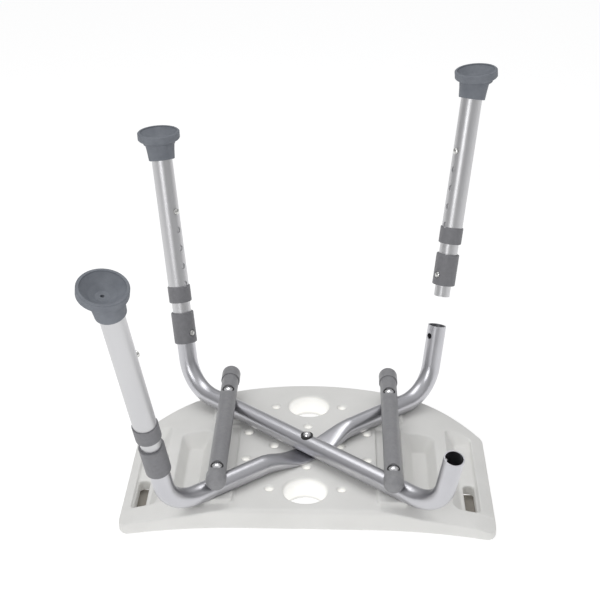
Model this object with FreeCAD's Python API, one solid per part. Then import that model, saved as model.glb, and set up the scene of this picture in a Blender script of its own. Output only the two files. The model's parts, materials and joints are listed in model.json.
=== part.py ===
import FreeCAD, Part
import math
import os

# Height-adjustable shower stool, lying upside down on its sitting face. Millimetres.
# Origin: on the flat middle of the sitting face, on the centre bolt's axis. X runs along the seat,
# Y towards its curved edge, Z up through the frame towards the feet. Three legs are held; one of
# them is drawn off its stub, and the fourth stub stands empty.

V = FreeCAD.Vector
UP = V(0, 0, 1)
os.makedirs("parts", exist_ok=True)

# Seat: a hollow blow-moulded slab, flat in the middle and drooping towards both ends.
SEAT_HALF = 238.0
SEAT_SHIFT = V(3.0, 0, 0)
SEAT_FRONT = -128.0
SEAT_BACK = 183.0
SEAT_BACK_R = 331.9
SEAT_CORNER_FRONT = 13.0
SEAT_CORNER_BACK = 16.0
SEAT_THICK = 30.0
SEAT_FLAT_BOTTOM = 80.0
SEAT_BOTTOM_R = 894.0
SEAT_FLAT_TOP = 120.0
SEAT_TOP_R = 290.0
SEAT_EDGE_R = 5.0
SEAT_WALL = 3.0
BIG_HOLES = [(0.0, 125.0), (0.0, -82.0)]
BIG_HOLE_R = 25.0
BIG_HOLE_MOUTH = 30.0
BIG_HOLE_DEPTH = 7.0
DRAIN_R = 4.2
DRAIN_MOUTH = 6.6
DRAIN_DEPTH = 4.5
DRAINS = [
    (46.0, 122.0), (46.0, -78.5), (80.3, 53.6), (80.3, -10.2), (44.3, 21.7),
    (-46.0, 122.0), (-46.0, -78.5), (-80.3, 53.6), (-80.3, -10.2), (-44.3, 21.7),
    (0.0, 71.4), (0.0, -28.0),
]
POCKET = (128.0, 174.0, -79.0, 57.0)
POCKET_FOOT = (141.0, 160.0, -66.0, 40.0)
POCKET_FLOOR = 8.0
PAN = (188.0, 225.0, -103.0, 80.0)
PAN_FOOT = (200.0, 221.0, -99.0, 66.0)
PAN_FLOOR = 5.0
SLOT = (205.0, 219.0, -97.0, -30.0)
TROUGH = (92.0, 126.0, -70.0, 70.0)
TROUGH_FLOOR = 26.0
BEVEL = [
    (96.0, 0.4), (112.0, 2.5), (130.0, 6.5), (150.0, 9.5),
    (172.0, 9.5), (195.0, 8.5), (216.0, 6.0), (243.0, 5.0),
]
BEVEL_WIDTH = 26.0
PAD = 38.0
PAD_TOP = 35.0
BOSS_R = 9.0

# Frame: two bent aluminium tubes that cross over the middle of the seat.
TUBE_R = 12.7
TUBE_WALL = 1.7
TUBE_A_Z = 47.0
TUBE_B_Z = 42.7
STUB_END = V(177.6, 168.06, 137.6)
STUB_DIR = V(0.127, 0.286, 1.0).normalize()
BEND_R = 55.0
FLAT_HALF_WIDTH = 18.0
FLAT_SPREAD = 78.0
FLAT_LENGTH = 13.0
FLAT_STEP = 0.1

# Crossbars: round plastic tubes saddled over the frame, screwed through it into the seat.
BAR_X = 110.5
BAR_Z = 64.0
BAR_R = 11.5
BAR_BORE_R = 8.5
BAR_FRONT = -112.0
BAR_BACK = 148.0
CAP_R = 12.8
CAP_FRONT_SKIRT = 8.0
CAP_BACK_SKIRT = 16.0
CAP_REACH = 12.0
SCREW_R = 3.0
SCREW_SEAT_Z = 71.5
WASHER_R = 8.0
WASHER_H = 1.2
HEAD_R = 6.2
HEAD_H = 3.2
SCREW_END_Z = 10.0
INSERT_R = 5.0
NUT_R = 5.6
NUT_TOP = 64.5

# Legs, measured along the leg from the end of its stub.
SLEEVE = (-29.0, 14.7)
SLEEVE_R = 15.75
INSERT_START = -45.0
INSERT_TUBE_R = 10.9
INNER_END = 172.0
INNER_WALL = 1.6
COLLAR = (29.5, 52.4)
COLLAR_R = 15.75
OUTER_START = 32.5
OUTER_END = 248.0
OUTER_R = 14.3
OUTER_BORE_R = 12.8
HOLE_R = 4.15
HOLE_FIRST = 54.8
HOLE_PITCH = 25.4
HOLE_COUNT = 5
BUTTON_R = 4.0
HEIGHT_BUTTON = 156.4
HEIGHT_BUTTON_TOP = 18.3
JOINT_BUTTON = -15.0
JOINT_BUTTON_TOP = 17.0
BUTTON_FOOT = 6.6
STRIP_T = 0.6
STRIP_W = 6.0
FOOT_START = 228.6
FOOT_RIM = 267.4
FOOT_RIM_R = 29.0
# Each leg: which stub, how far it is drawn off, how far its foot is turned, and how far it leans.
LEGS = {
    "back_left": (-1, 1, 0.0, -6.0, 15.0),
    "front_left": (-1, -1, 0.0, -76.0, 15.5),
    "back_right": (1, 1, 87.5, -13.0, 21.0),
}


def save(name, shape):
    """Writes one node after checking that it is sound."""
    if not shape.isValid():
        raise ValueError(name + " is not valid")
    shape.exportStep("parts/" + name + ".step")


def rod(start, end, r):
    """A cylinder between two points."""
    return Part.makeCylinder(r, (end - start).Length, start, end - start)


def cone(start, end, r0, r1):
    """A cone frustum between two points."""
    return Part.makeCone(r0, r1, (end - start).Length, start, end - start)


def block(x0, x1, y0, y1, z0, z1):
    """A box from its limits."""
    return Part.makeBox(x1 - x0, y1 - y0, z1 - z0, V(x0, y0, z0))


def fuse_all(shapes):
    """One solid out of overlapping ones."""
    return shapes[0].multiFuse(shapes[1:]).removeSplitter()


def rounded_block(x0, x1, y0, y1, z0, z1, r):
    """A box with rounded upright edges."""
    box = block(x0, x1, y0, y1, z0, z1)
    upright = [e for e in box.Edges if abs(e.tangentAt(0).z) > 0.99]
    return box.makeFillet(r, upright)


# ---------------------------------------------------------------- frame geometry
def corner(sx, sy, z):
    """Where a stub's axis meets the level part of its tube."""
    t = (STUB_END.z - z) / STUB_DIR.z
    p = STUB_END - STUB_DIR * t
    return V(sx * p.x, sy * p.y, z)


def stub(sx, sy):
    """End point and outward direction of a stub."""
    return V(sx * STUB_END.x, sy * STUB_END.y, STUB_END.z), V(sx * STUB_DIR.x, sy * STUB_DIR.y, STUB_DIR.z)


def half_path(sx, sy, z, inner_x):
    """Path from the middle of a tube out over the bend and up the stub."""
    end, a = stub(sx, sy)
    p = corner(sx, sy, z)
    flat = V(p.x, p.y, 0).normalize()
    turn = math.acos(flat.dot(a))
    reach = BEND_R * math.tan(turn / 2)
    b0 = p - flat * reach
    b1 = p + a * reach
    bisector = (a - flat).normalize()
    mid = p + bisector * (BEND_R / math.cos(turn / 2) - BEND_R)
    start = V(0, 0, z) + flat * inner_x
    return start, b0, mid, b1, end


def bent_tube(sx, sy, z, inner_x, r, both):
    """Round bar swept along one half of a tube, or along the whole of it."""
    start, b0, mid, b1, end = half_path(sx, sy, z, inner_x)
    out = [Part.makeLine(start, b0), Part.Arc(b0, mid, b1).toShape(), Part.makeLine(b1, end)]
    if both:
        _, c0, c_mid, c1, c_end = half_path(-sx, -sy, z, 0)
        back = [Part.makeLine(c_end, c1), Part.Arc(c1, c_mid, c0).toShape()]
        out = back + [Part.makeLine(c0, b0)] + out[1:]
        start = c_end
        normal = c1 - c_end
    else:
        normal = b0 - start
    wire = Part.Wire(out)
    profile = Part.Wire([Part.makeCircle(r, start, normal)])
    return wire.makePipeShell([profile], True, True)


def stub_hole(sx, sy):
    """The button hole through the side of a stub that faces the seat's centre."""
    end, a = stub(sx, sy)
    b = facing(sx, sy)
    p = end + a * JOINT_BUTTON
    return rod(p, p + b * 20, HOLE_R)


def facing(sx, sy):
    """Direction square to a leg that points at the middle of the seat."""
    _, a = stub(sx, sy)
    inward = V(-sx * 0.76, -sy * 0.65, 0)
    return (inward - a * inward.dot(a)).normalize()


def bar_y(z):
    """Y of a tube's axis under a crossbar, for a tube whose level part is at height z."""
    p = corner(1, 1, z)
    return BAR_X * p.y / p.x


SCREWS = []
for side in (-1, 1):
    SCREWS.append((side * BAR_X, -side * bar_y(TUBE_A_Z), TUBE_A_Z))
    SCREWS.append((side * BAR_X, side * bar_y(TUBE_B_Z), TUBE_B_Z))


# ---------------------------------------------------------------- seat
def slab(inset):
    """The seat's outer body, or its hollow when inset."""
    h = SEAT_HALF - inset
    y0 = SEAT_FRONT + inset
    r = SEAT_BACK_R - inset
    centre_y = SEAT_BACK - SEAT_BACK_R
    y_side = centre_y + math.sqrt(r * r - h * h)
    top = V(0, centre_y + r, -40)
    outline = Part.Wire([
        Part.makeLine(V(h, y_side, -40), V(h, y0, -40)),
        Part.makeLine(V(h, y0, -40), V(-h, y0, -40)),
        Part.makeLine(V(-h, y0, -40), V(-h, y_side, -40)),
        Part.Arc(V(-h, y_side, -40), top, V(h, y_side, -40)).toShape(),
    ])
    prism = Part.Face(outline).extrude(V(0, 0, 100))
    front = [e for e in prism.Edges if upright_at(e, y0)]
    prism = prism.makeFillet(SEAT_CORNER_FRONT - inset, front)
    back = [e for e in prism.Edges if upright_at(e, y_side)]
    prism = prism.makeFillet(SEAT_CORNER_BACK - inset, back)
    return prism.common(arch(inset))


def upright_at(edge, y):
    """True for a straight upright edge that stands at the given y."""
    box = edge.BoundBox
    return box.ZLength > 50 and box.XLength < 0.01 and abs(box.YMin - y) < 0.01 and abs(box.YMax - y) < 0.01


def droop(x, flat, r):
    """How far an arched surface has dropped at x."""
    d = max(0.0, abs(x) - flat)
    return r - math.sqrt(r * r - d * d)


def arch(inset):
    """Endless bar along Y with the seat's arched section."""
    w = SEAT_HALF + 5
    lo = inset
    hi = SEAT_THICK - inset

    def at(x, z, flat, r):
        return V(x, -200, z - droop(x, flat, r))

    fb = SEAT_FLAT_BOTTOM
    rb = SEAT_BOTTOM_R
    ft = SEAT_FLAT_TOP
    rt = SEAT_TOP_R
    mb = (fb + w) / 2
    mt = (ft + w) / 2
    edges = [
        Part.Arc(at(-w, lo, fb, rb), at(-mb, lo, fb, rb), at(-fb, lo, fb, rb)).toShape(),
        Part.makeLine(at(-fb, lo, fb, rb), at(fb, lo, fb, rb)),
        Part.Arc(at(fb, lo, fb, rb), at(mb, lo, fb, rb), at(w, lo, fb, rb)).toShape(),
        Part.makeLine(at(w, lo, fb, rb), at(w, hi, ft, rt)),
        Part.Arc(at(w, hi, ft, rt), at(mt, hi, ft, rt), at(ft, hi, ft, rt)).toShape(),
        Part.makeLine(at(ft, hi, ft, rt), at(-ft, hi, ft, rt)),
        Part.Arc(at(-ft, hi, ft, rt), at(-mt, hi, ft, rt), at(-w, hi, ft, rt)).toShape(),
        Part.makeLine(at(-w, hi, ft, rt), at(-w, lo, fb, rb)),
    ]
    return Part.Face(Part.Wire(edges)).extrude(V(0, 450, 0))


def rim_edges(shape):
    """The edges that run round the top and the bottom of the slab."""
    found = []
    for e in shape.Edges:
        box = e.BoundBox
        runs_across = box.XLength < 1 and abs(box.XMin) < SEAT_HALF - 1 and box.YLength > 100
        if box.ZLength < 15 and not runs_across:
            upright = box.XLength < 0.5 and box.YLength < 0.5
            if not upright:
                found.append(e)
    return found


def ring(limits, side, z, r):
    """Rounded rectangle at one end of the seat."""
    x0, x1, y0, y1 = limits
    if side < 0:
        x0, x1 = -x1, -x0
    k = r * (1 - math.sqrt(0.5))
    return Part.Wire([
        Part.makeLine(V(x0 + r, y0, z), V(x1 - r, y0, z)),
        Part.Arc(V(x1 - r, y0, z), V(x1 - k, y0 + k, z), V(x1, y0 + r, z)).toShape(),
        Part.makeLine(V(x1, y0 + r, z), V(x1, y1 - r, z)),
        Part.Arc(V(x1, y1 - r, z), V(x1 - k, y1 - k, z), V(x1 - r, y1, z)).toShape(),
        Part.makeLine(V(x1 - r, y1, z), V(x0 + r, y1, z)),
        Part.Arc(V(x0 + r, y1, z), V(x0 + k, y1 - k, z), V(x0, y1 - r, z)).toShape(),
        Part.makeLine(V(x0, y1 - r, z), V(x0, y0 + r, z)),
        Part.Arc(V(x0, y0 + r, z), V(x0 + k, y0 + k, z), V(x0 + r, y0, z)).toShape(),
    ])


def tapered(mouth, foot, mouth_z, foot_z):
    """The same drafted recess at both ends of the seat, carried on above its mouth."""
    made = []
    for side in (-1, 1):
        made.append(Part.makeLoft([ring(foot, side, foot_z, 5), ring(mouth, side, mouth_z, 9)], True, True))
        made.append(Part.Face(ring(mouth, side, mouth_z, 9)).extrude(V(0, 0, 30)))
    return made


def mirrored(limits, z0, z1, grow, r):
    """The same rounded block at both ends of the seat."""
    x0, x1, y0, y1 = limits
    x0 -= grow
    x1 += grow
    y0 -= grow
    y1 += grow
    return [
        rounded_block(x0, x1, y0, y1, z0, z1, r),
        rounded_block(-x1, -x0, y0, y1, z0, z1, r),
    ]


def mouthed_hole(x, y, r, mouth, depth):
    """Tools for a hole through the seat that opens wider at its mouth."""
    top = SEAT_THICK + 0.5
    funnel = Part.makeCone(r, mouth + 0.5 * (mouth - r) / depth, depth + 0.5, V(x, y, top - depth - 0.5))
    return [Part.makeCylinder(r, 60, V(x, y, -20)), funnel]


def bevel_tool(side, sink):
    """Wedge that lowers the front edge towards one end of the seat."""
    sections = []
    for x, depth in BEVEL:
        top = SEAT_THICK - droop(x, SEAT_FLAT_TOP, SEAT_TOP_R) - sink
        y0 = SEAT_FRONT - 3
        y1 = SEAT_FRONT + BEVEL_WIDTH
        low = top - depth * (y1 - y0) / BEVEL_WIDTH
        corners = [V(side * x, y0, low), V(side * x, y1, top), V(side * x, y1, 60), V(side * x, y0, 60)]
        sections.append(Part.makePolygon(corners + [corners[0]]))
    return Part.makeLoft(sections, True, True)


outer = slab(0)
outer = outer.makeFillet(SEAT_EDGE_R, rim_edges(outer))
outer.translate(SEAT_SHIFT)
hollow = slab(SEAT_WALL)
hollow.translate(SEAT_SHIFT)
for side in (-1, 1):
    outer = outer.cut(bevel_tool(side, 0))
    hollow = hollow.cut(bevel_tool(side, SEAT_WALL))
seat = outer.cut(hollow)
stays = []
for x, y in BIG_HOLES:
    stays.append(Part.makeCylinder(BIG_HOLE_MOUTH + SEAT_WALL, 60, V(x, y, -20)))
for x, y in DRAINS:
    stays.append(Part.makeCylinder(DRAIN_MOUTH + SEAT_WALL, 60, V(x, y, -20)))
stays += mirrored(TROUGH, TROUGH_FLOOR - SEAT_WALL, 40, SEAT_WALL, 8)
stays += mirrored(POCKET, POCKET_FLOOR - SEAT_WALL, 40, SEAT_WALL, 9)
stays += mirrored(PAN, PAN_FLOOR - SEAT_WALL, 40, SEAT_WALL, 11)
stays += mirrored(SLOT, -20, 40, SEAT_WALL, 8)
for x, y, z in SCREWS + [(0.0, 0.0, TUBE_A_Z)]:
    stays.append(Part.makeCylinder(BOSS_R, 60, V(x, y, -20)))
inner_stays = fuse_all(stays).common(outer)
seat = seat.fuse(inner_stays)

pads = []
for x, y, z in SCREWS:
    p = PAD / 2
    pads.append(rounded_block(x - p, x + p, y - p, y + p, SEAT_THICK - 1.5, PAD_TOP, 4))
seat = seat.multiFuse(pads)

cuts = []
for x, y in BIG_HOLES:
    cuts += mouthed_hole(x, y, BIG_HOLE_R, BIG_HOLE_MOUTH, BIG_HOLE_DEPTH)
for x, y in DRAINS:
    cuts += mouthed_hole(x, y, DRAIN_R, DRAIN_MOUTH, DRAIN_DEPTH)
cuts += mirrored(TROUGH, TROUGH_FLOOR, 50, 0, 5)
cuts += tapered(POCKET, POCKET_FOOT, 30.0, POCKET_FLOOR)
cuts += tapered(PAN, PAN_FOOT, 20.0, PAN_FLOOR)
cuts += mirrored(SLOT, -20, 50, 0, 6)
insert_beds = []
for x, y, z in SCREWS + [(0.0, 0.0, TUBE_A_Z)]:
    insert_beds.append(Part.makeCylinder(INSERT_R, 22, V(x, y, 8)))
    insert_beds.append(Part.makeCylinder(SCREW_R + 0.3, 40, V(x, y, 8)))
for sx, sy, z in [(-1, 1, TUBE_A_Z), (1, 1, TUBE_B_Z)]:
    p = corner(sx, sy, z)
    far = V(p.x, p.y, 0) * 0.9
    cuts.append(rod(V(-far.x, -far.y, z), V(far.x, far.y, z), TUBE_R))
for tool in cuts + insert_beds:
    seat = seat.cut(tool)
save("seat", seat.removeSplitter())

inserts = []
for x, y, z in SCREWS + [(0.0, 0.0, TUBE_A_Z)]:
    body = Part.makeCylinder(INSERT_R, 22, V(x, y, 8))
    inserts.append(body.cut(Part.makeCylinder(SCREW_R + 0.05, 30, V(x, y, 4))))
save("seat_inserts", Part.makeCompound(inserts))


# ---------------------------------------------------------------- frame tubes
tube_a = bent_tube(1, -1, TUBE_A_Z, 0, TUBE_R, True)
tube_a = tube_a.cut(bent_tube(1, -1, TUBE_A_Z, 0, TUBE_R - TUBE_WALL, True))


def flattened(shrink):
    """Middle of the lower tube: round at both ends, pressed flat where the other tube crosses."""
    p = corner(1, 1, TUBE_B_Z)
    along = V(p.x, p.y, 0).normalize()
    thick = TUBE_A_Z - TUBE_R - SEAT_THICK
    end_r = TUBE_R - FLAT_STEP
    rings = []
    steps = 16
    for i in range(-steps, steps + 1):
        d = FLAT_SPREAD * i / steps
        k = min(1.0, max(0.0, (abs(d) - FLAT_LENGTH) / (FLAT_SPREAD - 3 - FLAT_LENGTH)))
        k = k * k * (3 - 2 * k)
        half_h = thick / 2 + (end_r - thick / 2) * k
        half_w = FLAT_HALF_WIDTH + (end_r - FLAT_HALF_WIDTH) * k
        centre = V(0, 0, SEAT_THICK + half_h + FLAT_STEP * k) + along * d
        rings.append(superoval(centre, along, half_w - shrink, half_h - shrink, k))
    return Part.makeLoft(rings, True, False)


def superoval(centre, along, half_w, half_h, roundness):
    """Closed curve between a stadium and a circle."""
    across = UP.cross(along).normalize()
    power = 2.0 + 2.0 * (1 - roundness)
    points = []
    count = 28
    for i in range(count):
        w = 2 * math.pi * i / count
        c = math.cos(w)
        s = math.sin(w)
        u = math.copysign(abs(c) ** (2 / power), c) * half_w
        v = math.copysign(abs(s) ** (2 / power), s) * half_h
        points.append(centre + across * u + UP * v)
    curve = Part.BSplineCurve()
    curve.interpolate(points, PeriodicFlag=True)
    return Part.Wire([curve.toShape()])


def lower_tube(shrink):
    """Solid body of the lower tube, shrunk for its bore."""
    parts = [
        bent_tube(1, 1, TUBE_B_Z, FLAT_SPREAD - 3, TUBE_R - shrink, False),
        flattened(shrink),
        bent_tube(-1, -1, TUBE_B_Z, FLAT_SPREAD - 3, TUBE_R - shrink, False),
    ]
    return parts[0].multiFuse(parts[1:])


tube_b = lower_tube(0).cut(lower_tube(TUBE_WALL))

for x, y, z in SCREWS:
    hole = Part.makeCylinder(SCREW_R + 0.25, 60, V(x, y, 20))
    if z == TUBE_A_Z:
        tube_a = tube_a.cut(hole)
    else:
        tube_b = tube_b.cut(hole)
centre_hole = Part.makeCylinder(SCREW_R + 0.25, 60, V(0, 0, 20))
tube_a = tube_a.cut(centre_hole)
tube_b = tube_b.cut(centre_hole)
for sx, sy in [(1, -1), (-1, 1)]:
    tube_a = tube_a.cut(stub_hole(sx, sy))
for sx, sy in [(1, 1), (-1, -1)]:
    tube_b = tube_b.cut(stub_hole(sx, sy))
save("frame_tube_a", tube_a)
save("frame_tube_b", tube_b)


def tube_envelope(z, r):
    """Straight bar in place of a tube's level part, for saddles."""
    p = corner(1, 1, z)
    sx = -1 if z == TUBE_A_Z else 1
    far = V(sx * p.x, p.y, 0) * 0.9
    return rod(V(-far.x, -far.y, z), V(far.x, far.y, z), r)


# ---------------------------------------------------------------- centre bolt, crossbars, screws
bolt = Part.makeCylinder(SCREW_R, NUT_TOP - 3 - SCREW_END_Z, V(0, 0, SCREW_END_Z))
save("centre_bolt", bolt)
saddle_top = TUBE_A_Z + TUBE_R + 1.0
washer = Part.makeCylinder(WASHER_R, 4, V(0, 0, saddle_top - 4))
washer = washer.cut(tube_envelope(TUBE_A_Z, TUBE_R))
washer = washer.cut(Part.makeCylinder(SCREW_R + 0.2, 20, V(0, 0, 45)))
save("centre_washer", washer)
dome = Part.makeSphere(NUT_R, V(0, 0, NUT_TOP - NUT_R))
nut = dome.common(Part.makeCylinder(NUT_R, 20, V(0, 0, saddle_top)))
nut = nut.cut(Part.makeCylinder(SCREW_R + 0.05, NUT_TOP - 3 - 40, V(0, 0, 40)))
save("centre_nut", nut)

saddles = [tube_envelope(TUBE_A_Z, TUBE_R), tube_envelope(TUBE_B_Z, TUBE_R)]
for label, side in [("left", -1), ("right", 1)]:
    x = side * BAR_X
    front = V(x, BAR_FRONT, BAR_Z)
    back = V(x, BAR_BACK, BAR_Z)
    bar = rod(front, back, BAR_R).cut(rod(front - V(0, 1, 0), back + V(0, 1, 0), BAR_BORE_R))
    bar = bar.cut(saddles[0]).cut(saddles[1])
    for sx, sy, z in SCREWS:
        if sx == x:
            bar = bar.cut(Part.makeCylinder(SCREW_R + 0.25, 60, V(sx, sy, 40)))
            bar = bar.cut(Part.makeCylinder(WASHER_R + 0.4, 10, V(sx, sy, SCREW_SEAT_Z)))
    solids = sorted(bar.Solids, key=lambda s: -s.Volume)
    save("crossbar_" + label, solids[0])
    bar_ends = [("front", BAR_FRONT, -1, CAP_FRONT_SKIRT), ("back", BAR_BACK, 1, CAP_BACK_SKIRT)]
    for end, y, way, length in bar_ends:
        skirt = rod(V(x, y - way * length, BAR_Z), V(x, y + way * 3, BAR_Z), CAP_R)
        nose = Part.makeSphere(CAP_R, V(0, 0, 0)).common(Part.makeBox(60, 30, 60, V(-30, 0, -30)))
        squash = FreeCAD.Matrix()
        squash.scale(1.0, (CAP_REACH - 3) / CAP_R, 1.0)
        nose = nose.transformGeometry(squash)
        if way < 0:
            nose = nose.mirror(V(0, 0, 0), V(0, 1, 0))
        nose.translate(V(x, y + way * 3, BAR_Z))
        cap = skirt.fuse(nose)
        cap = cap.cut(rod(V(x, y - way * (length + 1), BAR_Z), V(x, y, BAR_Z), BAR_R))
        cap = cap.fuse(rod(V(x, y - way * (length - 1), BAR_Z), V(x, y + way * 1, BAR_Z), BAR_BORE_R))
        cap = cap.cut(tube_envelope(TUBE_A_Z, TUBE_R + 0.1)).cut(tube_envelope(TUBE_B_Z, TUBE_R + 0.1))
        cap = sorted(cap.removeSplitter().Solids, key=lambda s: -s.Volume)[0]
        save("crossbar_" + label + "_cap_" + end, cap)

screws = []
washers = []
for x, y, z in SCREWS:
    ring = Part.makeCylinder(WASHER_R, WASHER_H, V(x, y, SCREW_SEAT_Z))
    washers.append(ring.cut(Part.makeCylinder(SCREW_R + 0.2, 5, V(x, y, SCREW_SEAT_Z - 1))))
    under = SCREW_SEAT_Z + WASHER_H
    ball_r = (HEAD_R ** 2 + HEAD_H ** 2) / (2 * HEAD_H)
    ball = Part.makeSphere(ball_r, V(x, y, under + HEAD_H - ball_r))
    head = ball.common(Part.makeCylinder(HEAD_R + 1, HEAD_H + 1, V(x, y, under)))
    shank = Part.makeCylinder(SCREW_R, under - SCREW_END_Z + 0.5, V(x, y, SCREW_END_Z))
    screw = head.fuse(shank)
    screw = screw.cut(Part.makeCylinder(1.8, 2.2, V(x, y, under + HEAD_H - 1.8)))
    screws.append(screw.removeSplitter())
save("crossbar_screws", Part.makeCompound(screws))
save("crossbar_washers", Part.makeCompound(washers))


# ---------------------------------------------------------------- legs
def spring_clip(origin, a, b, wall_r, top):
    """Bent spring strip inside a tube: one limb on the far wall, the other under the button."""
    rest = -(math.sqrt(wall_r ** 2 - (STRIP_W / 2) ** 2) - STRIP_T)
    under = top - STRIP_T / 2
    line = [(16, rest), (-15, rest), (-18, rest + 2.5), (-15.5, rest + 5), (-6, under), (5.5, under)]
    side = a.cross(b)
    upper = []
    lower = []
    for i, (u, v) in enumerate(line):
        before = line[max(i - 1, 0)]
        after = line[min(i + 1, len(line) - 1)]
        run_in = V(u - before[0], v - before[1], 0) if i else V(after[0] - u, after[1] - v, 0)
        run_out = V(after[0] - u, after[1] - v, 0) if i < len(line) - 1 else run_in
        run_in.normalize()
        run_out.normalize()
        mitre = (V(-run_in.y, run_in.x, 0) + V(-run_out.y, run_out.x, 0)).normalize()
        reach = STRIP_T / 2 / mitre.dot(V(-run_in.y, run_in.x, 0))
        upper.append((u + mitre.x * reach, v + mitre.y * reach))
        lower.append((u - mitre.x * reach, v - mitre.y * reach))
    loop = upper + lower[::-1]
    loop.append(loop[0])
    start = origin - side * (STRIP_W / 2)
    outline = Part.makePolygon([start + a * u + b * v for u, v in loop])
    return Part.Face(outline).extrude(side * STRIP_W)


def button(origin, b, top):
    """Round domed button that stands out through the tube walls."""
    flat_top = top - 1.6
    body = rod(origin + b * BUTTON_FOOT, origin + b * flat_top, BUTTON_R)
    ball_r = (BUTTON_R ** 2 + 1.6 ** 2) / 3.2
    cap = Part.makeSphere(ball_r, origin + b * (top - ball_r))
    cap = cap.common(rod(origin + b * (flat_top - 0.5), origin + b * (top + 1), BUTTON_R))
    return body.fuse(cap).removeSplitter()


def revolved(origin, axis, profile):
    """Solid turned about an axis from (distance along it, radius) pairs."""
    side = axis.cross(V(0, 1, 0)).normalize()
    points = [origin + axis * d + side * r for d, r in profile]
    points.append(points[0])
    return Part.Face(Part.makePolygon(points)).revolve(origin, axis, 360)


def foot(origin, a, twist, lean_angle):
    """Flared rubber foot, moulded so that its rim lies flat on the floor."""
    rise = (UP - a * UP.dot(a)).normalize()
    side = a.cross(rise)
    w = math.radians(twist)
    tilt = math.radians(lean_angle)
    lean = rise * math.cos(w) + side * math.sin(w)
    n = a * math.cos(tilt) + lean * math.sin(tilt)
    rim = origin + a * FOOT_RIM
    barrel = revolved(origin, a, [
        (FOOT_START, 0), (FOOT_START, 17.2), (FOOT_START + 0.8, 17.9), (241, 18.9), (250, 20.1),
        (264, 21.0), (264, 0),
    ])
    cup = revolved(rim, n, [
        (-17.2, 0), (-17.2, 20.6), (-16.4, 22.0), (-12.6, 22.5), (-11.6, 25.4), (-10.6, 27.8),
        (-9.2, FOOT_RIM_R), (-0.9, FOOT_RIM_R), (0, 28.1), (0, 0),
    ])
    hollow = revolved(rim, n, [
        (-13.5, 0), (-13.5, 8.0), (-9.5, 15.5), (-4, 22.3), (-1.5, 25.0), (1, 25.6), (16, 25.6),
        (16, 0),
    ])
    pin_hole = rod(rim - n * 16.5, rim, 2.2)
    body = barrel.fuse(cup).cut(hollow).cut(pin_hole)
    body = body.cut(rod(origin + a * (FOOT_START - 5), origin + a * OUTER_END, OUTER_R))
    return body.removeSplitter()


for leg, (sx, sy, drawn, twist, lean_angle) in LEGS.items():
    stub_end, a = stub(sx, sy)
    b = facing(sx, sy)
    o = stub_end + a * drawn

    def at(t):
        return o + a * t

    inner = rod(at(0), at(INNER_END), TUBE_R).fuse(rod(at(INSERT_START), at(1), INSERT_TUBE_R))
    inner = inner.cut(rod(at(INSERT_START - 1), at(2), INSERT_TUBE_R - INNER_WALL))
    inner = inner.cut(rod(at(2), at(INNER_END + 1), TUBE_R - INNER_WALL))
    for t in (JOINT_BUTTON, HEIGHT_BUTTON):
        inner = inner.cut(rod(at(t), at(t) + b * 20, HOLE_R))
    save("inner_tube_" + leg, inner.removeSplitter())

    sleeve = rod(at(SLEEVE[0]), at(SLEEVE[1]), SLEEVE_R)
    sleeve = sleeve.makeChamfer(0.8, [e for e in sleeve.Edges if e.Curve.TypeId == "Part::GeomCircle"])
    sleeve = sleeve.cut(rod(at(SLEEVE[0] - 1), at(0), TUBE_R + 0.06))
    sleeve = sleeve.cut(rod(at(0), at(SLEEVE[1] + 1), TUBE_R))
    sleeve = sleeve.cut(rod(at(JOINT_BUTTON), at(JOINT_BUTTON) + b * 20, HOLE_R + 0.6))
    save("joint_sleeve_" + leg, sleeve)

    save("joint_button_" + leg, button(at(JOINT_BUTTON), b, JOINT_BUTTON_TOP))
    save("height_button_" + leg, button(at(HEIGHT_BUTTON), b, HEIGHT_BUTTON_TOP))
    insert_bore = INSERT_TUBE_R - INNER_WALL
    save("joint_spring_" + leg, spring_clip(at(JOINT_BUTTON), a, b, insert_bore, BUTTON_FOOT))
    inner_bore = TUBE_R - INNER_WALL
    save("height_spring_" + leg, spring_clip(at(HEIGHT_BUTTON) - a * 2, a, b, inner_bore, BUTTON_FOOT))

    tube = rod(at(OUTER_START), at(OUTER_END), OUTER_R)
    tube = tube.cut(rod(at(OUTER_START - 1), at(OUTER_END + 1), OUTER_BORE_R))
    for i in range(HOLE_COUNT):
        t = HOLE_FIRST + i * HOLE_PITCH
        tube = tube.cut(rod(at(t), at(t) + b * 20, HOLE_R))
    save("outer_tube_" + leg, tube)

    collar = rod(at(COLLAR[0]), at(COLLAR[1]), COLLAR_R)
    collar = collar.makeChamfer(0.8, [e for e in collar.Edges if e.Curve.TypeId == "Part::GeomCircle"])
    collar = collar.cut(rod(at(COLLAR[0] - 1), at(OUTER_START), OUTER_BORE_R))
    collar = collar.cut(rod(at(OUTER_START), at(COLLAR[1] + 1), OUTER_R))
    collar = collar.cut(rod(at(HOLE_FIRST), at(HOLE_FIRST) + b * 20, HOLE_R + 0.3))
    save("height_collar_" + leg, collar)

    save("rubber_foot_" + leg, foot(o, a, twist, lean_angle))
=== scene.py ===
import json
import math

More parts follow.
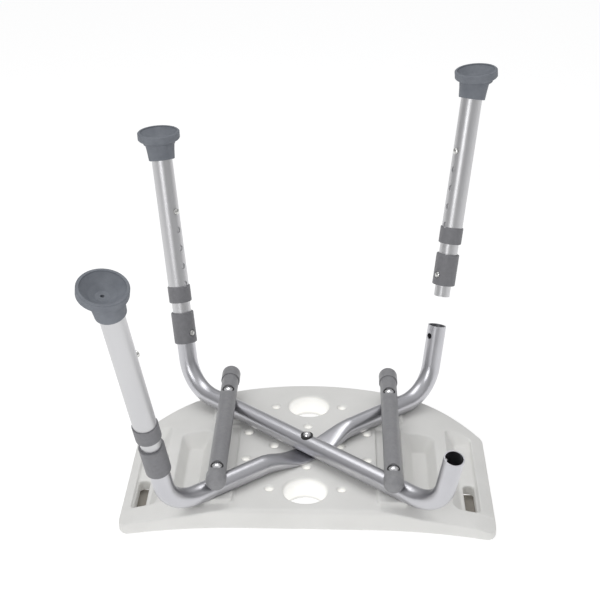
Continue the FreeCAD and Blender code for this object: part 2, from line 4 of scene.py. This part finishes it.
import bmesh
import bpy
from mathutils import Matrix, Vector

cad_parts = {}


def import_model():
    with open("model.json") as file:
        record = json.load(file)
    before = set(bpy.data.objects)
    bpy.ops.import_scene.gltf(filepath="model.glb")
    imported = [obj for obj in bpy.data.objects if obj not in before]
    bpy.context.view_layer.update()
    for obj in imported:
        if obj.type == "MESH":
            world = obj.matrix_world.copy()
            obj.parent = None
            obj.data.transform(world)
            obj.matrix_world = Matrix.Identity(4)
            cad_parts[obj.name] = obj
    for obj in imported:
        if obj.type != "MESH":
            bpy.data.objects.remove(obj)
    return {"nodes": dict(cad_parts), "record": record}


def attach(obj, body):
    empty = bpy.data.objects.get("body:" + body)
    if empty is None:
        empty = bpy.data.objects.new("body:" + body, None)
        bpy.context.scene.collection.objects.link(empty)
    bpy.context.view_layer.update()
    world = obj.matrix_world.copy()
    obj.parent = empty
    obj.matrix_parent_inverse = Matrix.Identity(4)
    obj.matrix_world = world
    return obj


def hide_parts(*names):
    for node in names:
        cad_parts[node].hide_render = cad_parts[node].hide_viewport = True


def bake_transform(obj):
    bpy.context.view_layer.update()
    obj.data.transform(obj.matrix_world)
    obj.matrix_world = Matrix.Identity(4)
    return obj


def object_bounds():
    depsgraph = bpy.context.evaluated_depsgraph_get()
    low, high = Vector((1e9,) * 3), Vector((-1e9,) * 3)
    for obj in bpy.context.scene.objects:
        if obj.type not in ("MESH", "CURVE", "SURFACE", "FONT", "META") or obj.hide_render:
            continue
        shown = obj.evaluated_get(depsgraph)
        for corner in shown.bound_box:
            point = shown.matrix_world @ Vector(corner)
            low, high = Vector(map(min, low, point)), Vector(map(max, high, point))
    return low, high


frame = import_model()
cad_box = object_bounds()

# Looks of the upside-down shower stool. The imported nodes keep their shapes, apart from the seat,
# whose moulded edges are softened in a finer copy; the springs are shown as plain copies.
# Metres, in the CAD frame.

NODES = frame["nodes"]

SEAT_VOXEL = 0.0013
SEAT_SMOOTH = 6

# Painted light: the part of the seat's inside where the drains' walls are given an emission glow,
# standing in for light let through their thin walls.
PAINTED_GLOW_STRENGTH = 0.30
PAINTED_GLOW_ZONE = {"X": (-0.09, 0.09), "Y": (-0.114, 0.16), "Z": (0.002, 0.0292)}
PAINTED_GLOW_SOFT = 0.004

# Edges sharper than this stay sharp under smooth shading, in degrees.
SHARP_EDGE = 35

# The painted shade patches under the hand slots, grey sheets on the floor where little light
# reaches: how far out and forward, and how large.
SLOT_X = 0.213
SLOT_Y = -0.065
SLOT_PATCH = (0.024, 0.08, 1)

FLOOR_SIZE = 60
FLOOR_GAP = 0.0002
PATCH_GAP = 0.0001

# Camera: from the front, a little to the right, looking down over the feet.
AIM = Vector((-0.0091, 0.0, 0.2591))
AZIMUTH = math.radians(1.66)
ELEVATION = math.radians(26.76)
DISTANCE = 1.711
LENS = 82.1


# ---------------------------------------------------------------- materials
class Nodes:
    """Short forms for building one material's node tree."""

    def __init__(self, name):
        self.material = bpy.data.materials.new(name)
        self.material.use_nodes = True
        self.tree = self.material.node_tree
        self.shader = self.tree.nodes["Principled BSDF"]
        self.coords = self.add("ShaderNodeTexCoord").outputs["Object"]

    def add(self, kind, **settings):
        """A new node of a kind, with its settings."""
        node = self.tree.nodes.new(kind)
        for key, value in settings.items():
            setattr(node, key, value)
        return node

    def link(self, a, b):
        self.tree.links.new(a, b)

    def uniform(self, **values):
        """Sets the shader's own sockets to one value all over; _ stands for a space in a name."""
        for key, value in values.items():
            self.shader.inputs[key.replace("_", " ")].default_value = value

    def noise(self, scale, detail=3.0, rough=0.5, stretch=None):
        """Noise in the object's own coordinates, drawn out along an axis if stretched."""
        tex = self.add("ShaderNodeTexNoise")
        tex.inputs["Scale"].default_value = scale
        tex.inputs["Detail"].default_value = detail
        tex.inputs["Roughness"].default_value = rough
        source = self.coords
        if stretch:
            mapping = self.add("ShaderNodeMapping")
            mapping.inputs["Scale"].default_value = stretch
            self.link(source, mapping.inputs["Vector"])
            source = mapping.outputs["Vector"]
        self.link(source, tex.inputs["Vector"])
        return tex.outputs["Fac"]

    def ramp(self, fac, stops):
        """Colours by a 0 to 1 value."""
        node = self.add("ShaderNodeValToRGB")
        while len(node.color_ramp.elements) < len(stops):
            node.color_ramp.elements.new(0.5)
        for element, (place, colour) in zip(node.color_ramp.elements, stops):
            element.position = place
            element.color = (*colour, 1.0)
        self.link(fac, node.inputs["Fac"])
        return node.outputs["Color"]

    def product(self, a, b):
        node = self.add("ShaderNodeMath", operation="MULTIPLY")
        self.link(a, node.inputs[0])
        self.link(b, node.inputs[1])
        return node.outputs["Value"]

    def range(self, fac, lo, hi, f0=0.3, f1=0.7):
        """Maps f0 to f1 onto lo to hi."""
        node = self.add("ShaderNodeMapRange")
        node.inputs["From Min"].default_value = f0
        node.inputs["From Max"].default_value = f1
        node.inputs["To Min"].default_value = lo
        node.inputs["To Max"].default_value = hi
        self.link(fac, node.inputs["Value"])
        return node.outputs["Result"]

    def colour(self, fac, dark, light):
        shade = self.ramp(fac, [(0.3, dark), (0.7, light)])
        self.link(shade, self.shader.inputs["Base Color"])

    def roughness(self, fac, lo, hi):
        self.link(self.range(fac, lo, hi), self.shader.inputs["Roughness"])

    def bump(self, fac, distance, strength=1.0, after=None):
        """Fine relief, on top of an earlier one if given."""
        node = self.add("ShaderNodeBump")
        node.inputs["Strength"].default_value = strength
        node.inputs["Distance"].default_value = distance
        self.link(fac, node.inputs["Height"])
        if after:
            self.link(after, node.inputs["Normal"])
        self.link(node.outputs["Normal"], self.shader.inputs["Normal"])
        return node.outputs["Normal"]


def inside(n, socket, low, high):
    """1 where a coordinate lies between two values, with soft ends."""
    rise = n.range(socket, 0.0, 1.0, low, low + PAINTED_GLOW_SOFT)
    fall = n.range(socket, 1.0, 0.0, high - PAINTED_GLOW_SOFT, high)
    return n.product(rise, fall)


def painted_drain_glow(n):
    """Painted light: an emission glow on the drains' thin pale walls, which makes them look
    brighter than the skin.
    """
    split = n.add("ShaderNodeSeparateXYZ")
    n.link(n.coords, split.inputs["Vector"])
    across, along, up = [inside(n, split.outputs[axis], *PAINTED_GLOW_ZONE[axis]) for axis in "XYZ"]
    mask = n.product(n.product(across, along), up)
    n.link(n.range(mask, 0.0, PAINTED_GLOW_STRENGTH, 0.0, 1.0), n.shader.inputs["Emission Strength"])
    n.shader.inputs["Emission Color"].default_value = (1.0, 0.99, 0.96, 1.0)


def seat_plastic():
    """Pale blow-moulded plastic with a fine grain."""
    n = Nodes("seat_plastic")
    # Painted light: an emission glow on the walls of the drains.
    painted_drain_glow(n)
    n.colour(n.noise(14, 4), (0.76, 0.757, 0.735), (0.81, 0.807, 0.785))
    n.roughness(n.noise(60, 3), 0.38, 0.52)
    n.uniform(Specular_IOR_Level=0.4)
    grain = n.bump(n.noise(1500, 2), 0.00012, 0.45)
    n.bump(n.noise(90, 3), 0.0004, 0.25, grain)
    return n.material


def aluminium(name, dark, light, rough, stretch):
    """Satin anodised tube."""
    n = Nodes(name)
    n.uniform(Metallic=1.0)
    n.colour(n.noise(12, 3, 0.5, stretch), dark, light)
    n.roughness(n.noise(40, 3, 0.5, stretch), rough - 0.015, rough + 0.025)
    n.bump(n.noise(2600, 2, 0.5, stretch), 0.00002, 0.2)
    return n.material


def plastic(name, dark, light, rough, grain):
    """Grained moulded plastic."""
    n = Nodes(name)
    n.colour(n.noise(180, 4, 0.65), dark, light)
    n.roughness(n.noise(90, 3), rough - 0.06, rough + 0.06)
    n.uniform(Specular_IOR_Level=0.45)
    n.bump(n.noise(grain, 3), 0.00015, 0.5)
    return n.material


def rubber():
    """Blue-grey rubber of the feet."""
    n = Nodes("foot_rubber")
    n.colour(n.noise(70, 5, 0.6), (0.155, 0.168, 0.192), (0.20, 0.215, 0.24))
    n.roughness(n.noise(40, 3), 0.55, 0.72)
    n.uniform(Specular_IOR_Level=0.35)
    n.bump(n.noise(1100, 3), 0.0002, 0.5)
    return n.material


def polished(name, dark, light, rough):
    """Bright plated metal."""
    n = Nodes(name)
    n.uniform(Metallic=1.0)
    n.colour(n.noise(300, 3), dark, light)
    n.roughness(n.noise(500, 3), rough, rough + 0.08)
    n.bump(n.noise(1800, 2), 0.00002, 0.3)
    return n.material


LONG = (1.0, 1.0, 0.06)
PLASTIC_GRAIN = 900
FRAME_METAL = ((0.54, 0.54, 0.565), (0.58, 0.58, 0.605))
LEG_METAL = ((0.59, 0.59, 0.60), (0.63, 0.63, 0.64))
GREY = ((0.24, 0.24, 0.25), (0.285, 0.285, 0.295))
SLEEVE_GREY = ((0.175, 0.175, 0.186), (0.21, 0.21, 0.222))
BLACK = ((0.012, 0.012, 0.012), (0.02, 0.02, 0.02))
MATERIALS = {
    "seat_plastic": seat_plastic(),
    "tube_aluminium": aluminium("tube_aluminium", *FRAME_METAL, 0.31, None),
    "leg_aluminium": aluminium("leg_aluminium", *LEG_METAL, 0.40, LONG),
    "grey_plastic": plastic("grey_plastic", *GREY, 0.42, PLASTIC_GRAIN),
    "sleeve_plastic": plastic("sleeve_plastic", *SLEEVE_GREY, 0.5, PLASTIC_GRAIN),
    "foot_rubber": rubber(),
    "chrome_steel": polished("chrome_steel", (0.75, 0.75, 0.76), (0.85, 0.85, 0.86), 0.08),
    "button_steel": polished("button_steel", (0.60, 0.60, 0.58), (0.72, 0.72, 0.70), 0.18),
    "spring_steel": polished("spring_steel", (0.40, 0.40, 0.41), (0.50, 0.50, 0.51), 0.3),
    "washer_black": plastic("washer_black", *BLACK, 0.45, PLASTIC_GRAIN),
    "insert_brass": polished("insert_brass", (0.60, 0.44, 0.20), (0.72, 0.55, 0.28), 0.25),
}


def paint(obj, slot):
    """Gives every face of an object the material of one slot."""
    obj.data.materials.clear()
    obj.data.materials.append(MATERIALS[slot])
    for face in obj.data.polygons:
        face.material_index = 0


def smooth_shade(obj, angle):
    """Smooth shading that keeps edges sharper than the angle."""
    mesh = obj.data
    mesh.shade_smooth()
    mesh.set_sharp_from_angle(angle=math.radians(angle))


# ---------------------------------------------------------------- seat
def evaluated(obj, name):
    """A new mesh object with the modifiers of obj applied."""
    graph = bpy.context.evaluated_depsgraph_get()
    mesh = bpy.data.meshes.new_from_object(obj.evaluated_get(graph))
    made = bpy.data.objects.new(name, mesh)
    bpy.context.scene.collection.objects.link(made)
    return made


def outer_skin(bm):
    """Deletes every vertex that isn't joined to the one furthest out along X."""
    bmesh.ops.remove_doubles(bm, verts=bm.verts, dist=1e-6)
    bm.verts.ensure_lookup_table()
    outer = max(range(len(bm.verts)), key=lambda i: bm.verts[i].co.x)
    reached = {outer}
    waiting = [bm.verts[outer]]
    while waiting:
        v = waiting.pop()
        for e in v.link_edges:
            w = e.other_vert(v)
            if w.index not in reached:
                reached.add(w.index)
                waiting.append(w)
    inner = [v for v in bm.verts if v.index not in reached]
    bmesh.ops.delete(bm, geom=inner, context="VERTS")


def moulded_seat():
    """The seat with the soft edges of a blow moulding, without its inner skin."""
    bm = bmesh.new()
    bm.from_mesh(NODES["seat"].data)
    outer_skin(bm)
    mesh = bpy.data.meshes.new("seat_blank")
    bm.to_mesh(mesh)
    bm.free()
    blank = bpy.data.objects.new("seat_blank", mesh)
    bpy.context.scene.collection.objects.link(blank)
    remesh = blank.modifiers.new("remesh", "REMESH")
    remesh.mode = "VOXEL"
    remesh.voxel_size = SEAT_VOXEL
    smooth = blank.modifiers.new("smooth", "SMOOTH")
    smooth.factor = 0.5
    smooth.iterations = SEAT_SMOOTH
    made = evaluated(blank, "moulded_seat")
    bpy.data.objects.remove(blank)
    made.data.shade_smooth()
    paint(made, "seat_plastic")
    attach(made, "stool")
    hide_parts("seat")


moulded_seat()

SLOTS = {s["node"]: s["material_slot"] for s in frame["record"]["subparts"]}
for name, obj in NODES.items():
    if name != "seat":
        paint(obj, SLOTS[name])
        smooth_shade(obj, SHARP_EDGE)


# ---------------------------------------------------------------- springs
def flexing_spring(node):
    """Puts a copy of a spring clip, which sits between its tube and the button that presses it, in
    place of its node.
    """
    made = bpy.data.objects.new("flex_" + node, NODES[node].data.copy())
    bpy.context.scene.collection.objects.link(made)
    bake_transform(made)
    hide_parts(node)


for joint in frame["record"]["behaviour"]["joints"]:
    if joint["name"].endswith("_button_press"):
        for moved in joint["deforming_nodes"]:
            flexing_spring(moved["node"])


# ---------------------------------------------------------------- stage, light, camera
def floor():
    """A plain pale floor under the sitting face."""
    lowest = cad_box[0][2]
    bpy.ops.mesh.primitive_plane_add(size=FLOOR_SIZE, location=(0, 0, lowest - FLOOR_GAP))
    plane = bpy.context.object
    plane.name = "floor"
    n = Nodes("floor")
    n.uniform(Base_Color=(0.36, 0.36, 0.36, 1.0), Roughness=0.9)
    n.uniform(Emission_Color=(1, 1, 1, 1), Emission_Strength=0.75)
    plane.data.materials.append(n.material)


def slot_shade():
    """A grey sheet on the floor under each hand slot: painted shade where little light reaches."""
    height = cad_box[0][2] - PATCH_GAP
    for side in (-1, 1):
        bpy.ops.mesh.primitive_plane_add(size=1, location=(side * SLOT_X, SLOT_Y, height))
        patch = bpy.context.object
        patch.name = "slot_shade"
        patch.scale = SLOT_PATCH
        n = Nodes("slot_shade")
        n.uniform(Base_Color=(0.30, 0.28, 0.25, 1.0), Roughness=1.0)
        patch.data.materials.append(n.material)


def world():
    """White to the eye; for reflections, a bright ceiling over darker sides."""
    sky = bpy.data.worlds.new("studio")
    sky.use_nodes = True
    tree = sky.node_tree
    tree.nodes.clear()
    new, link = tree.nodes.new, tree.links.new
    out = new("ShaderNodeOutputWorld")
    mix = new("ShaderNodeMixShader")
    path = new("ShaderNodeLightPath")
    white = new("ShaderNodeBackground")
    white.inputs["Color"].default_value = (1, 1, 1, 1)
    white.inputs["Strength"].default_value = 1.1
    lit = new("ShaderNodeBackground")
    lit.inputs["Strength"].default_value = 0.62
    coords = new("ShaderNodeTexCoord")
    split = new("ShaderNodeSeparateXYZ")
    ramp = new("ShaderNodeValToRGB")
    sides, ceiling = ramp.color_ramp.elements
    sides.position = 0.0
    sides.color = (0.34, 0.34, 0.345, 1)
    ceiling.position = 0.8
    ceiling.color = (1.0, 1.0, 1.01, 1)
    link(coords.outputs["Generated"], split.inputs["Vector"])
    link(split.outputs["Z"], ramp.inputs["Fac"])
    link(ramp.outputs["Color"], lit.inputs["Color"])
    link(path.outputs["Is Camera Ray"], mix.inputs["Fac"])
    link(lit.outputs["Background"], mix.inputs[1])
    link(white.outputs["Background"], mix.inputs[2])
    link(mix.outputs["Shader"], out.inputs["Surface"])
    bpy.context.scene.world = sky


def area(name, place, target, size, power):
    """A soft box that faces a point."""
    light = bpy.data.lights.new(name, "AREA")
    light.shape = "RECTANGLE"
    light.size, light.size_y = size
    light.energy = power
    obj = bpy.data.objects.new(name, light)
    obj.location = place
    obj.rotation_euler = (Vector(target) - Vector(place)).to_track_quat("-Z", "Y").to_euler()
    bpy.context.scene.collection.objects.link(obj)


def camera():
    """The camera stands on a sphere round the aim point."""
    cam = bpy.data.cameras.new("camera")
    cam.lens = LENS
    cam.sensor_width = 36.0
    obj = bpy.data.objects.new("camera", cam)
    flat = math.cos(ELEVATION)
    away = Vector((math.sin(AZIMUTH) * flat, -math.cos(AZIMUTH) * flat, math.sin(ELEVATION)))
    obj.location = AIM + away * DISTANCE
    obj.rotation_euler = (math.pi / 2 - ELEVATION, 0.0, AZIMUTH)
    bpy.context.scene.collection.objects.link(obj)
    bpy.context.scene.camera = obj


floor()
slot_shade()
world()
area("key", (-0.8, -2.0, 1.3), (0, 0, 0.2), (1.0, 1.4), 14)
area("fill", (1.7, -0.9, 1.2), (0, 0, 0.15), (0.7, 1.4), 0.6)
area("top", (-0.2, 0.5, 2.0), (0, 0, 0.1), (1.6, 1.2), 11)
camera()
bpy.context.scene.view_settings.view_transform = "Standard"
